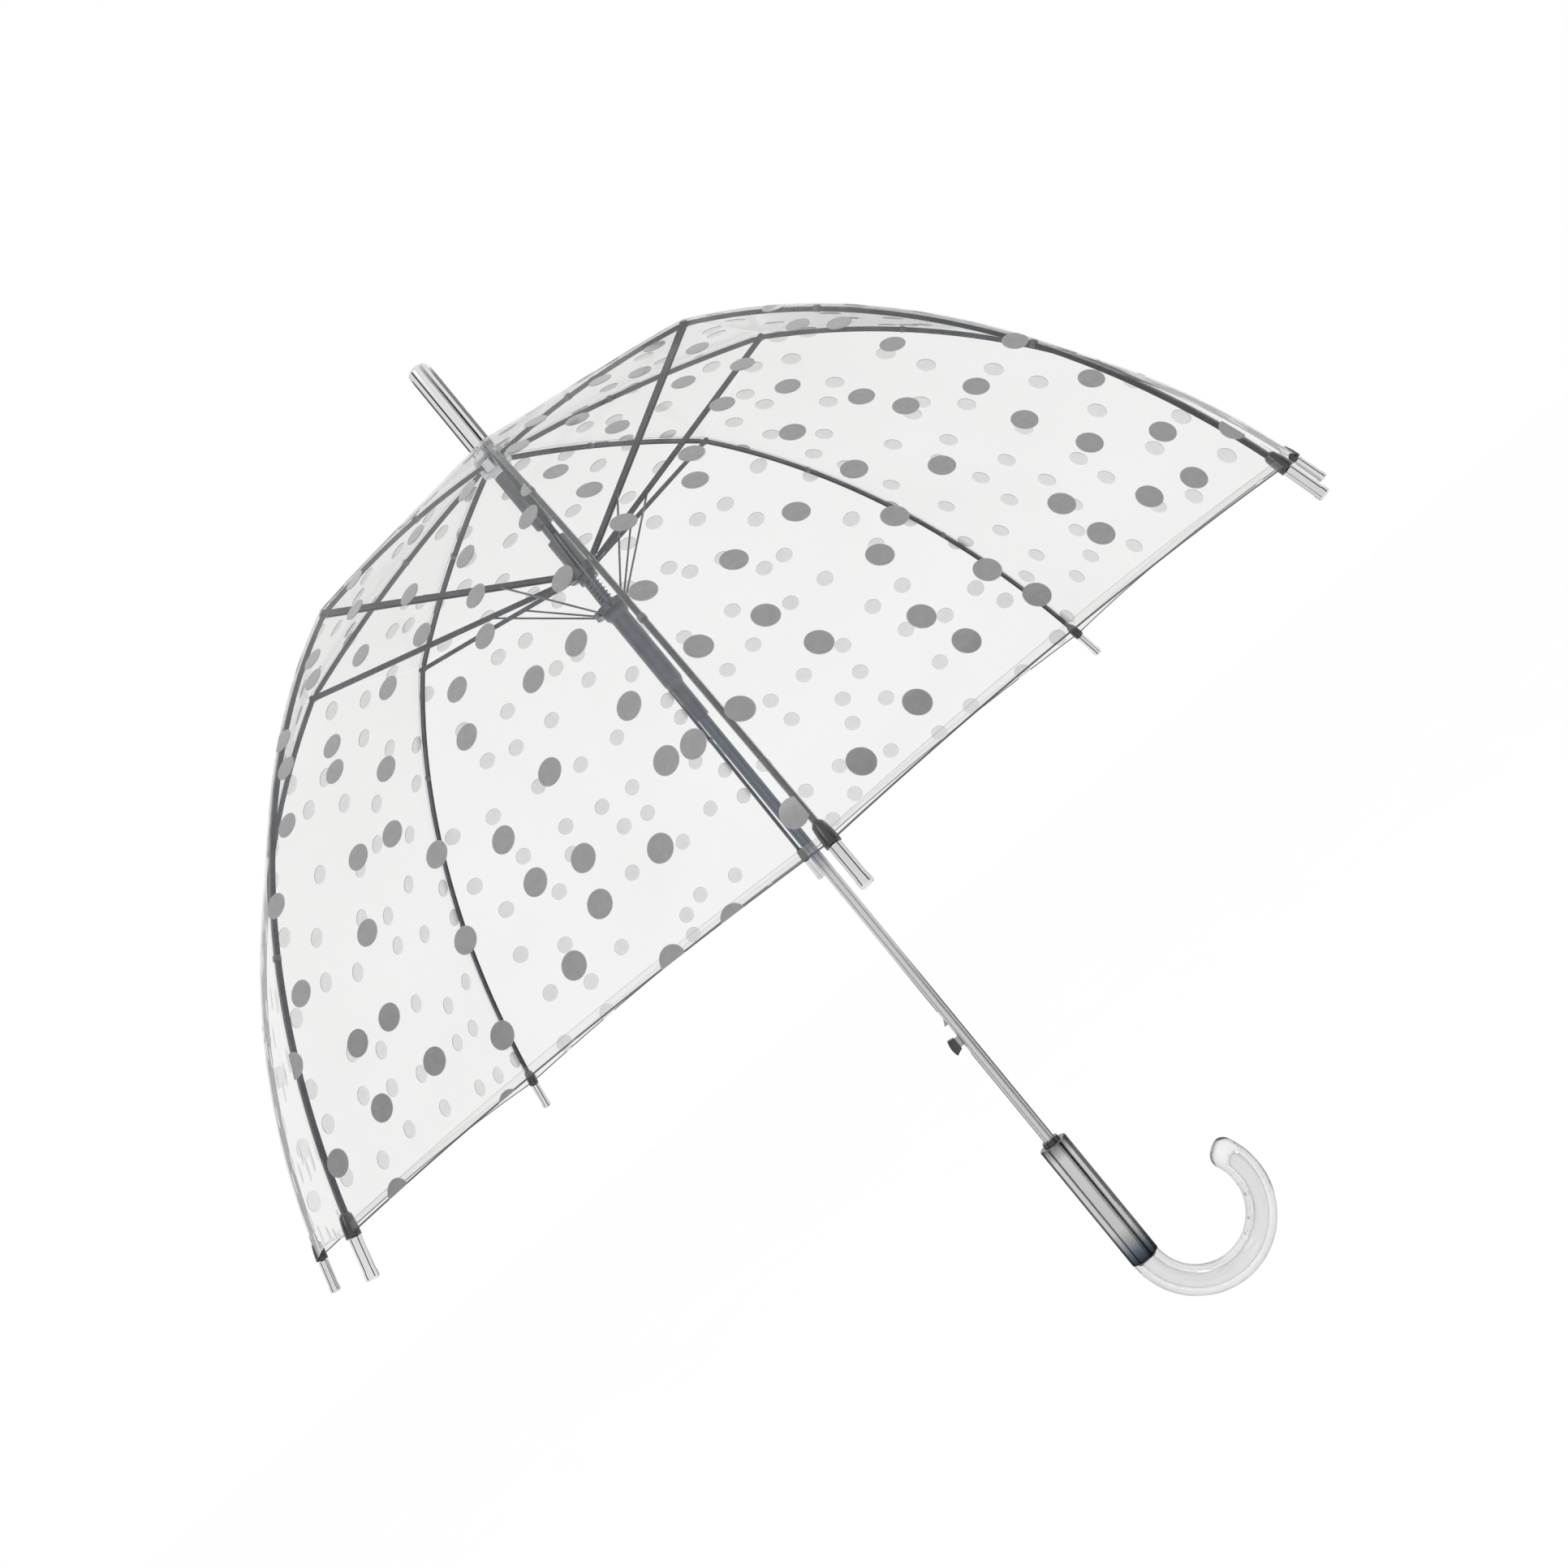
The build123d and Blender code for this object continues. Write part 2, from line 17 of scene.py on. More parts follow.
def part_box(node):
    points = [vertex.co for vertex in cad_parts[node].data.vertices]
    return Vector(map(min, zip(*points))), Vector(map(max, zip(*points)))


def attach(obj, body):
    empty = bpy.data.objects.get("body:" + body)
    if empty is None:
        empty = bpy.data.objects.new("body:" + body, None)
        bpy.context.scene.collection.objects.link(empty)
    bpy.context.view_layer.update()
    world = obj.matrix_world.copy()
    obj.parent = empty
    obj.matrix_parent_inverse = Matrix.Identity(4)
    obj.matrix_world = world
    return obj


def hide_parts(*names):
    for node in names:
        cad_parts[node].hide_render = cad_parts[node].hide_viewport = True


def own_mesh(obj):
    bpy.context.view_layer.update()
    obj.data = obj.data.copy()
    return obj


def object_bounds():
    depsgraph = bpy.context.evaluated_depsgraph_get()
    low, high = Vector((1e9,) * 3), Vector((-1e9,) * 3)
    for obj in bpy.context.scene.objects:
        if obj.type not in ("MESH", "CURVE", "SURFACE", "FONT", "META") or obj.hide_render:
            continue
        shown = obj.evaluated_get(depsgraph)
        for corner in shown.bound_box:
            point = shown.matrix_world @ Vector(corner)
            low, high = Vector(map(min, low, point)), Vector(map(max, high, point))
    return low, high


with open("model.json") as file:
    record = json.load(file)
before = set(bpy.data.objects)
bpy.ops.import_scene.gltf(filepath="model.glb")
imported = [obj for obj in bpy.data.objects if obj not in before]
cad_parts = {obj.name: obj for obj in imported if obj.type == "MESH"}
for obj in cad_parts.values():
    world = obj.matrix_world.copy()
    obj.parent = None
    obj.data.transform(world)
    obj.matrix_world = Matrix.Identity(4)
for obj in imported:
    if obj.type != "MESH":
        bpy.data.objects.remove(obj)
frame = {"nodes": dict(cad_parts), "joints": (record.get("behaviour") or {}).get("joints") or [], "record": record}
cad_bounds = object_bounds()
random.seed(7)

MM = 0.001
nodes = frame["nodes"]
joints = {joint["name"]: joint for joint in frame["joints"]}

# ---------------------------------------------------------------- sizes
RIB_COUNT = 8
HALF_GORE = pi / RIB_COUNT
FIRST_RIB = -pi / 2


def in_rib_plane(point):
    """(distance from the shaft's axis, height) of a point."""
    return hypot(point[0], point[1]), point[2]


# the rib's line: its hinges come from the frame, its turns and its tip repeat the part's own values
CROWN = in_rib_plane(joints["fold"]["pos_m"])
ELBOW = in_rib_plane(joints["elbow_1"]["pos_m"])
UPPER_TURN = radians(11)
LOWER_TURN = radians(44)
TIP = (420 * MM, -354 * MM)
FILM_OUT = 3.0 * MM  # from the rib's line to the film
FILM_GAP = 0.35 * MM  # between the film's outer and inner face
HEM_TRIM = 5.5 * MM  # from the rib's end back to the hem
SEAM = 3.2 * MM
HEM = 5.0 * MM
COLLAR_HOLE = 4.6 * MM
HEM_RISE = 4.0 * MM  # of the hem between two ribs
HEM_REACH = 1 / 4  # the share of the film's length over which the hem's rise fades out

TOP_ROWS = 26
SKIRT_ROWS = 44
HALF_COLUMNS = 12


def rib_azimuth(number):
    return FIRST_RIB + 2 * HALF_GORE * (number - 1)


def outward(azimuth):
    return Vector((cos(azimuth), sin(azimuth), 0))


def sideways(azimuth):
    return Vector((-sin(azimuth), cos(azimuth), 0))


# ---------------------------------------------------------------- the rib's line
class Bow:
    """An arc in a rib's plane that turns clockwise from start to end."""

    def __init__(self, start, end, turn):
        run, rise = end[0] - start[0], end[1] - start[1]
        self.radius = hypot(run, rise) / 2 / sin(turn / 2)
        self.first = atan2(rise, run) + turn / 2 + pi / 2
        self.turn = turn
        self.centre = (
            start[0] - self.radius * cos(self.first),
            start[1] - self.radius * sin(self.first),
        )

    def length(self):
        return self.radius * self.turn

    def at(self, along, out):
        """The point at that length along the arc, and out from it."""
        angle = self.first - along / self.radius
        reach = self.radius + out
        return self.centre[0] + reach * cos(angle), self.centre[1] + reach * sin(angle)

    def heading(self, along):
        return self.first - along / self.radius - pi / 2


UPPER = Bow(CROWN, ELBOW, UPPER_TURN)
LOWER = Bow(ELBOW, TIP, LOWER_TURN)
WHOLE = UPPER.length() + LOWER.length() - HEM_TRIM  # the film from the crown to the hem


def film_rows(arc, length, count, out, begun):
    """Rows (distance, height, length from the crown, length left to the hem) of the film's line."""
    found = []
    for row in range(count + 1):
        along = length * row / count
        distance, height = arc.at(along, out)
        found.append((distance, height, begun + along, WHOLE - begun - along))
    return found


# ---------------------------------------------------------------- mesh helpers
def link(name, mesh, material, body):
    mesh.update()
    mesh.polygons.foreach_set("use_smooth", [True] * len(mesh.polygons))
    piece = bpy.data.objects.new(name, mesh)
    bpy.context.scene.collection.objects.link(piece)
    mesh.materials.append(material)
    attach(piece, body)
    return piece


def tube(name, line, radius, material, body, sides=16):
    """A round bar along a list of points; radius is a number or follows the share of the line."""
    mesh = bpy.data.meshes.new(name)
    shape = bmesh.new()
    rings = []
    across = None
    for number, point in enumerate(line):
        before = line[max(number - 1, 0)]
        after = line[min(number + 1, len(line) - 1)]
        heading = (after - before).normalized()
        if across is None:
            across = heading.orthogonal().normalized()
        across = (across - heading * across.dot(heading)).normalized()
        other = heading.cross(across)
        width = radius(number / (len(line) - 1)) if callable(radius) else radius
        ring = []
        for side in range(sides):
            turn = 2 * pi * side / sides
            spoke = (across * cos(turn) + other * sin(turn)) * width
            ring.append(shape.verts.new(point + spoke))
        rings.append(ring)
    for low, high in zip(rings, rings[1:]):
        for side in range(sides):
            beside = (side + 1) % sides
            shape.faces.new((low[side], low[beside], high[beside], high[side]))
    shape.faces.new(rings[0][::-1])
    shape.faces.new(rings[-1])
    bmesh.ops.recalc_face_normals(shape, faces=shape.faces)
    shape.to_mesh(mesh)
    shape.free()
    return link(name, mesh, material, body)


# ---------------------------------------------------------------- materials
def start(name):
    material = bpy.data.materials.new(name)
    material.use_nodes = True
    tree = material.node_tree
    shader = tree.nodes["Principled BSDF"]
    return material, tree, shader


def node(tree, kind, values=(), **settings):
    made = tree.nodes.new(kind)
    for key, value in settings.items():
        setattr(made, key, value)
    for key, value in dict(values).items():
        made.inputs[key].default_value = value
    return made


def maths(tree, operation, first, second=0.0, third=None):
    """A maths node whose inputs are numbers or other nodes' outputs; returns its output."""
    made = node(tree, "ShaderNodeMath", operation=operation)
    for place, value in enumerate((first, second, third)):
        if value is None:
            continue
        if isinstance(value, (int, float)):
            made.inputs[place].default_value = value
        else:
            tree.links.new(value, made.inputs[place])
    return made.outputs[0]


def ramp(tree, source, stops):
    made = node(tree, "ShaderNodeValToRGB")
    while len(made.color_ramp.elements) < len(stops):
        made.color_ramp.elements.new(0.5)
    for element, (place, colour) in zip(made.color_ramp.elements, stops):
        element.position = place
        element.color = (*colour, 1) if len(colour) == 3 else colour
    tree.links.new(source, made.inputs[0])
    return made.outputs[0]


def noise(tree, scale, detail=4.0, stretch=None):
    """Noise in the object's own coordinates, stretched along an axis if asked."""
    place = node(tree, "ShaderNodeTexCoord").outputs["Object"]
    if stretch:
        mapping = node(tree, "ShaderNodeMapping", {"Scale": stretch})
        tree.links.new(place, mapping.inputs["Vector"])
        place = mapping.outputs["Vector"]
    made = node(tree, "ShaderNodeTexNoise", {"Scale": scale, "Detail": detail})
    tree.links.new(place, made.inputs["Vector"])
    return made.outputs["Fac"]


def bump(tree, shader, source, strength, distance):
    made = node(tree, "ShaderNodeBump", {"Strength": strength, "Distance": distance})
    tree.links.new(source, made.inputs["Height"])
    tree.links.new(made.outputs["Normal"], shader.inputs["Normal"])


def grey(value):
    return (value, value, value)


def metal(name, dark, light, rough, streak=None, grain=900.0, strength=0.12):
    """A metal whose colour and roughness wander, with a fine grain."""
    material, tree, shader = start(name)
    shader.inputs["Metallic"].default_value = 1.0
    wander = noise(tree, 60.0, stretch=streak)
    tree.links.new(ramp(tree, wander, [(0.3, dark), (0.7, light)]), shader.inputs["Base Color"])
    low, high = rough
    tree.links.new(
        maths(tree, "MULTIPLY_ADD", noise(tree, 180.0, stretch=streak), high - low, low),
        shader.inputs["Roughness"],
    )
    bump(tree, shader, noise(tree, grain, 3.0, streak), strength, 0.00005)
    return material


def plastic(name, dark, light, rough, coat=0.3, strength=0.15):
    """Moulded plastic with faint flow marks."""
    material, tree, shader = start(name)
    colour = ramp(tree, noise(tree, 90.0), [(0.3, dark), (0.7, light)])
    tree.links.new(colour, shader.inputs["Base Color"])
    low, high = rough
    tree.links.new(
        maths(tree, "MULTIPLY_ADD", noise(tree, 240.0), high - low, low), shader.inputs["Roughness"]
    )
    shader.inputs["Coat Weight"].default_value = coat
    shader.inputs["Coat Roughness"].default_value = 0.08
    bump(tree, shader, noise(tree, 1400.0, 2.0), strength, 0.00004)
    return material


DOT_R = 7.0 * MM
DOT_BLUR = 0.25 * MM
DOT_SPACING = 43 * MM
GORE_SHIFT = (7.37, 3.61)  # in dot spacings, so that no two gores have the same dots
SEAM_LINE = 0.35 * MM  # half the width of the seam's dark line
STITCH_LINE = 0.3 * MM
HEM_LINE = 0.9 * MM
PRINT = (0.225, 0.255)  # the dots' grey on the printed face
# painted lightening: the dots on the inner face are paler, standing in for the haze of the near film that the far
# dots are seen through
INNER_DOTS_PAINTED_PALER = (0.76, 0.82)  # their paler grey from inside
FILM_GREY = (0.44, 0.445, 0.42)


def film(name, ink, ink_alpha, haze_low):
    """Clear film with dots: UV "flat" is metres over the gore, "edges" metres from rib and hem."""
    material, tree, shader = start(name)
    edges = node(tree, "ShaderNodeSeparateXYZ")
    tree.links.new(node(tree, "ShaderNodeUVMap", uv_map="edges").outputs["UV"], edges.inputs[0])
    from_rib, from_hem = edges.outputs["X"], edges.outputs["Y"]
    seam = maths(tree, "LESS_THAN", from_rib, SEAM / 2)
    seam_line = maths(tree, "COMPARE", from_rib, SEAM / 2, SEAM_LINE)
    hem = maths(tree, "LESS_THAN", from_hem, HEM)
    hem_line = maths(tree, "LESS_THAN", from_hem, HEM_LINE)
    stitch = maths(tree, "COMPARE", from_hem, HEM, STITCH_LINE)
    line = maths(tree, "MAXIMUM", hem_line, maths(tree, "MULTIPLY", seam_line, 0.55))
    line = maths(tree, "MAXIMUM", line, maths(tree, "MULTIPLY", stitch, 0.3))

    weight = node(tree, "ShaderNodeLayerWeight", {"Blend": 0.32})
    rim = maths(tree, "POWER", weight.outputs["Facing"], 2.2)
    haze = maths(tree, "MULTIPLY_ADD", noise(tree, 9.0, 5.0), 0.05, haze_low)
    alpha = maths(tree, "MULTIPLY_ADD", rim, 0.3, haze)
    welded = maths(tree, "MAXIMUM", seam, hem)
    alpha = maths(tree, "ADD", alpha, maths(tree, "MULTIPLY", welded, 0.06))
    alpha = maths(tree, "MAXIMUM", alpha, maths(tree, "MULTIPLY", line, 0.75))
    colour = node(tree, "ShaderNodeMix", data_type="RGBA")
    colour.inputs["A"].default_value = (*FILM_GREY, 1)
    colour.inputs["B"].default_value = (0.09, 0.09, 0.1, 1)
    tree.links.new(line, colour.inputs["Factor"])
    scaled = node(tree, "ShaderNodeMapping", {"Scale": (1 / DOT_SPACING, 1 / DOT_SPACING, 1)})
    over_gore = node(tree, "ShaderNodeUVMap", uv_map="flat")
    tree.links.new(over_gore.outputs["UV"], scaled.inputs["Vector"])
    scatter = {"Scale": 1.0, "Randomness": 0.66}
    cells = node(tree, "ShaderNodeTexVoronoi", scatter, voronoi_dimensions="2D")
    tree.links.new(scaled.outputs["Vector"], cells.inputs["Vector"])
    edge = node(tree, "ShaderNodeMapRange", {
        "From Min": (DOT_R + DOT_BLUR) / DOT_SPACING,
        "From Max": (DOT_R - DOT_BLUR) / DOT_SPACING,
    })
    tree.links.new(cells.outputs["Distance"], edge.inputs["Value"])
    dot = edge.outputs["Result"]
    printed = node(tree, "ShaderNodeMix", data_type="RGBA")
    tree.links.new(dot, printed.inputs["Factor"])
    tree.links.new(colour.outputs["Result"], printed.inputs["A"])
    inked = ramp(tree, noise(tree, 260.0), [(0.3, grey(ink[0])), (0.7, grey(ink[1]))])
    tree.links.new(inked, printed.inputs["B"])
    alpha = maths(tree, "MAXIMUM", alpha, maths(tree, "MULTIPLY", dot, ink_alpha))
    tree.links.new(printed.outputs["Result"], shader.inputs["Base Color"])
    tree.links.new(alpha, shader.inputs["Alpha"])
    tree.links.new(
        maths(tree, "MULTIPLY_ADD", noise(tree, 70.0), 0.12, 0.1), shader.inputs["Roughness"]
    )
    shader.inputs["IOR"].default_value = 1.45
    shader.inputs["Coat Weight"].default_value = 0.4
    shader.inputs["Coat Roughness"].default_value = 0.05
    bump(tree, shader, noise(tree, 16.0, 3.0), 0.35, 0.002)
    return material


def clear_plastic(name, core, rim, rough, through):
    """Cast clear acrylic: faintly grey, with a trace of swirl, and darker towards its outline where the surface
    turns from the eye, a painted shade standing in for the dark edges that refraction gives.
    """
    material, tree, shader = start(name)
    shader.inputs["Transmission Weight"].default_value = through
    shader.inputs["IOR"].default_value = 1.47
    # painted shade: the colour runs from the core grey to the dark rim grey as the surface turns away from the eye
    weight = node(tree, "ShaderNodeLayerWeight", {"Blend": 0.45})
    swirl = maths(tree, "MULTIPLY_ADD", noise(tree, 45.0, 3.0), 0.3, -0.15)
    place = maths(tree, "ADD", weight.outputs["Facing"], swirl)
    tree.links.new(
        ramp(tree, place, [
            (0.05, grey(core)),
            (0.3, grey(core * 0.9)),
            (0.58, grey((core + rim) / 2)),
            (0.85, grey(rim)),
        ]),
        shader.inputs["Base Color"],
    )
    tree.links.new(
        maths(tree, "MULTIPLY_ADD", noise(tree, 120.0), 0.05, rough), shader.inputs["Roughness"]
    )
    bump(tree, shader, noise(tree, 60.0, 1.0), 0.05, 0.0003)
    return material


def paint_shade_by_height(material, low, high, stops):
    """Paints shade into a material: multiplies its colour by a ramp over the heights from low to high."""
    tree = material.node_tree
    shader = tree.nodes["Principled BSDF"]
    plain = shader.inputs["Base Color"].links[0].from_socket
    place = node(tree, "ShaderNodeSeparateXYZ")
    tree.links.new(node(tree, "ShaderNodeTexCoord").outputs["Object"], place.inputs[0])
    share = node(tree, "ShaderNodeMapRange", {"From Min": low, "From Max": high})
    tree.links.new(place.outputs["Z"], share.inputs["Value"])
    shaded = node(tree, "ShaderNodeMix", data_type="RGBA", blend_type="MULTIPLY")
    shaded.inputs["Factor"].default_value = 1.0
    tree.links.new(plain, shaded.inputs["A"])
    tree.links.new(ramp(tree, share.outputs["Result"], stops), shaded.inputs["B"])
    tree.links.new(shaded.outputs["Result"], shader.inputs["Base Color"])


ALONG_SHAFT = (1.0, 1.0, 0.02)
RIB_TINTS = (0.024, 0.028, 0.039), (0.074, 0.084, 0.11)
WIRE_TINTS = (0.07, 0.075, 0.09), (0.17, 0.18, 0.2)
HUB_TINTS = (0.55, 0.58, 0.63), (0.68, 0.7, 0.74)
RUNNER_TINTS = (0.03, 0.036, 0.049), (0.072, 0.083, 0.108)
slots = {
    "shaft_steel": metal("shaft_satin", grey(0.52), grey(0.66), (0.26, 0.38), ALONG_SHAFT),
    "chrome": metal("chrome_plate", grey(0.6), grey(0.76), (0.06, 0.15), ALONG_SHAFT, 500.0, 0.05),
    "rib_steel": metal("rib_gunmetal", *RIB_TINTS, (0.2, 0.36)),
    "spring_wire": metal("spring_wire_steel", *WIRE_TINTS, (0.2, 0.35)),
    "latch_steel": metal("latch_strip_steel", grey(0.2), grey(0.4), (0.2, 0.4)),
    "hub_plastic": plastic("hub_milky_plastic", *HUB_TINTS, (0.22, 0.4), 0.4, 0.1),
    "runner_plastic": plastic("runner_plastic", *RUNNER_TINTS, (0.25, 0.4)),
    "black_plastic": plastic("black_moulded_plastic", grey(0.012), grey(0.03), (0.2, 0.38)),
    "clear_acrylic": clear_plastic("crook_acrylic", 0.9, 0.12, 0.03, 0.9),
}
film_outer = film("film_printed_face", PRINT, 1.0, 0.025)
film_inner = film("film_inner_face", INNER_DOTS_PAINTED_PALER, 0.92, 0.035)
slots["film"] = film_inner

for entry in frame["record"]["subparts"]:
    shown = nodes[entry["node"]].data
    shown.materials.clear()
    shown.materials.append(slots[entry["material_slot"]])

# painted shade and painted dark reflection: the sleeve's colour darkens towards both its ends
SLEEVE_PAINTED_SHADE = [
    (0.0, (0.02, 0.028, 0.036)),
    (0.09, (0.17, 0.21, 0.25)),
    (0.27, grey(0.9)),
    (0.88, grey(1.0)),
    (1.0, grey(0.26)),
]
sleeve_low, sleeve_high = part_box("handle_sleeve")
# the sleeve's chrome, with painted shade towards its ends
sleeve_chrome_painted_shade = metal(
    "sleeve_chrome_painted_shade", grey(0.52), grey(0.7), (0.12, 0.22), ALONG_SHAFT, 500.0, 0.05
)
paint_shade_by_height(sleeve_chrome_painted_shade, sleeve_low.z, sleeve_high.z, SLEEVE_PAINTED_SHADE)
nodes["handle_sleeve"].data.materials[0] = sleeve_chrome_painted_shade
# the shaft is silver below the hem; inside the canopy its colour is darkened to slate, a painted shade standing in
# for its dim look through the hazy film
SHAFT_SHADE_CHANGE = 12 * MM
paint_shade_by_height(slots["shaft_steel"], TIP[1] - SHAFT_SHADE_CHANGE, TIP[1] + SHAFT_SHADE_CHANGE, [
    (0.0, grey(1.0)),
    (1.0, (0.19, 0.22, 0.28)),
])


# ---------------------------------------------------------------- film
def film_face(name, number, rows, material, body):
    """One face of a rib's film: level chords from the rib to the middle of each gore beside it."""
    azimuth = rib_azimuth(number)
    mesh = bpy.data.meshes.new(name)
    shape = bmesh.new()
    flat = shape.loops.layers.uv.new("flat")
    edges = shape.loops.layers.uv.new("edges")
    for side in (-1, 1):
        middle = azimuth + side * HALF_GORE
        gore = number if side > 0 else (number - 2) % RIB_COUNT + 1
        shift = Vector([gore * step * DOT_SPACING for step in GORE_SHIFT])
        grid = []
        for distance, height, along, left in rows:
            line = []
            for column in range(HALF_COLUMNS + 1):
                share = column / HALF_COLUMNS
                half = distance * sin(HALF_GORE)
                across = half * (1 - share)
                place = outward(middle) * distance * cos(HALF_GORE)
                place = place - sideways(middle) * side * across
                near_hem = max(0.0, 1 - left / WHOLE / HEM_REACH) ** 2
                place.z = height + HEM_RISE * (1 - (1 - share) ** 2) * near_hem
                corner = shape.verts.new(place)
                line.append((corner, (-side * across, along), (half * share, left)))
            grid.append(line)
        for low, high in zip(grid, grid[1:]):
            for column in range(HALF_COLUMNS):
                corners = (low[column], low[column + 1], high[column + 1], high[column])
                corners = corners if side < 0 else corners[::-1]
                face = shape.faces.new([corner[0] for corner in corners])
                for loop, corner in zip(face.loops, corners):
                    loop[flat].uv = Vector(corner[1]) + shift
                    loop[edges].uv = corner[2]
    shape.normal_update()
    shape.to_mesh(mesh)
    shape.free()
    piece = link(name, mesh, material, body)
    return piece


for number in range(1, RIB_COUNT + 1):
    top, skirt = UPPER.length(), LOWER.length() - HEM_TRIM
    spans = (
        ("top", UPPER, top, TOP_ROWS, 0.0, f"rib_{number}", f"rib_upper_{number}"),
        ("skirt", LOWER, skirt, SKIRT_ROWS, top, f"outer_{number}", f"rib_lower_{number}"),
    )
    faces = (("print", FILM_OUT, film_outer), ("lining", FILM_OUT - FILM_GAP, film_inner))
    for label, arc, length, count, begun, body, rib in spans:
        for face, out, material in faces:
            rows = film_rows(arc, length, count, out, begun)
            piece = film_face(f"film_{label}_{face}_{number}", number, rows, material, body)
            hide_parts("canopy")
            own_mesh(piece)


DISC_STEPS = 6 * RIB_COUNT
CLEAR_OF_EDGES = (0.05, 0.5)  # far from any seam or hem, in metres


def collar_disc(name, out, material):
    """The film's middle, between the top washer and the crown."""
    mesh = bpy.data.meshes.new(name)
    shape = bmesh.new()
    flat = shape.loops.layers.uv.new("flat")
    edges = shape.loops.layers.uv.new("edges")
    rise = tan(-UPPER.heading(0))
    distance, height = UPPER.at(0, out)
    rings = []
    for radius in (COLLAR_HOLE, (COLLAR_HOLE + distance) / 2, distance):
        ring = []
        for step in range(DISC_STEPS):
            azimuth = FIRST_RIB + 2 * pi * step / DISC_STEPS
            off = abs((azimuth - FIRST_RIB + HALF_GORE) % (2 * HALF_GORE) - HALF_GORE)
            reach = radius * cos(HALF_GORE) / cos(HALF_GORE - off)
            place = outward(azimuth) * reach
            place.z = height + (distance - radius) * rise
            ring.append(shape.verts.new(place))
        rings.append(ring)
    for low, high in zip(rings, rings[1:]):
        for step in range(len(low)):
            nearby = (step + 1) % len(low)
            face = shape.faces.new((low[step], high[step], high[nearby], low[nearby]))
            for loop in face.loops:
                loop[flat].uv = loop.vert.co.xy + Vector((0.2, 0.2))
                loop[edges].uv = CLEAR_OF_EDGES
    shape.normal_update()
    shape.to_mesh(mesh)
    shape.free()
    piece = link(name, mesh, material, "umbrella")
    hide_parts("canopy")


collar_disc("film_centre_print", FILM_OUT, film_outer)


# ---------------------------------------------------------------- film pockets and ties at the ribs
def rib_point(number, arc, along, out):
    distance, height = arc.at(along, out)
    place = outward(rib_azimuth(number)) * distance
    place.z = height
    return place


def pocket_radius(share):
    """Slim at the film, wide at the cap."""
    return (2.2 + 1.8 * sin(pi * min(1.0, share * 1.6) / 2)) * MM


def tie_radius(share):
    return (2.2 if 0.2 < share < 0.8 else 1.95) * MM


POCKET_STATIONS = (17, 15.5, 10, 6.2, 4.6)  # in mm back from the rib's end
TIE_STATIONS = (-1.6, -1.3, 1.3, 1.6)  # in mm along the rib from the tie's middle

for number in range(1, RIB_COUNT + 1):
    pocket_line = [
        rib_point(number, LOWER, LOWER.length() - back * MM, 0.2 * MM)
        for back in POCKET_STATIONS
    ]
    pocket = tube(
        f"tip_pocket_{number}",
        pocket_line,
        pocket_radius,
        slots["black_plastic"],
        f"outer_{number}",
    )
    ties = (
        (UPPER, 0.42, f"rib_{number}"),
        (LOWER, 0.25, f"outer_{number}"),
        (LOWER, 0.6, f"outer_{number}"),
    )
    for place, (arc, share, body) in enumerate(ties):
        middle = share * arc.length()
        ends = [rib_point(number, arc, middle + step * MM, 0.25 * MM) for step in TIE_STATIONS]
        tie = tube(
            f"film_tie_{number}_{place + 1}",
            ends,
            tie_radius,
            slots["runner_plastic"],
            body,
            20,
        )


# ---------------------------------------------------------------- crook: its bore and bubbles
hook_low, hook_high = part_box("handle_hook")
HOOK_R = hook_high.y
BEND = (hook_high.x - hook_low.x) / 2 - HOOK_R
BEND_CENTRE = Vector((BEND, 0, sleeve_low.z))


def hook_point(turn, out=0.0, side=0.0):
    """A point of the crook, turn radians round its bend from the sleeve."""
    reach = BEND + out
    return BEND_CENTRE + Vector((-reach * cos(turn), side, -reach * sin(turn)))


BORE_R = 5.2 * MM
bore_line = [hook_point(radians(2 + step * 2.5)) for step in range(81)]


def bore_radius(share):
    """The bore's radius, rounded off at its far end."""
    closing = min(1.0, 14 * (1 - share))
    return BORE_R * min(1.0, (1 - (1 - closing) ** 2) ** 0.5 + 0.12)


bore = tube(
    "crook_bore",
    bore_line,
    bore_radius,
    slots["clear_acrylic"],
    "umbrella",
    24,
)
bore.data.flip_normals()


def bubbles(name, count):
    """Small air bubbles in the crook, near its outer side."""
    mesh = bpy.data.meshes.new(name)
    shape = bmesh.new()
    for _ in range(count):
        turn = radians(random.uniform(105, 205))
        size = random.uniform(0.35, 1.1) * MM
        out = random.uniform(6.2, 7.9) * MM * random.choice((1, 1, -1))
        centre = hook_point(turn, out, random.uniform(-3, 3) * MM)
        flat, tall = random.uniform(0.6, 0.9), random.uniform(0.8, 1.5)
        squeeze = Matrix.Diagonal((size, size * flat, size * tall, 1))
        bmesh.ops.create_icosphere(
            shape, subdivisions=2, radius=1.0, matrix=Matrix.Translation(centre) @ squeeze
        )
    bmesh.ops.reverse_faces(shape, faces=shape.faces)
    shape.to_mesh(mesh)
    shape.free()
    piece = link(name, mesh, slots["clear_acrylic"], "umbrella")


bubbles("crook_bubbles", 18)

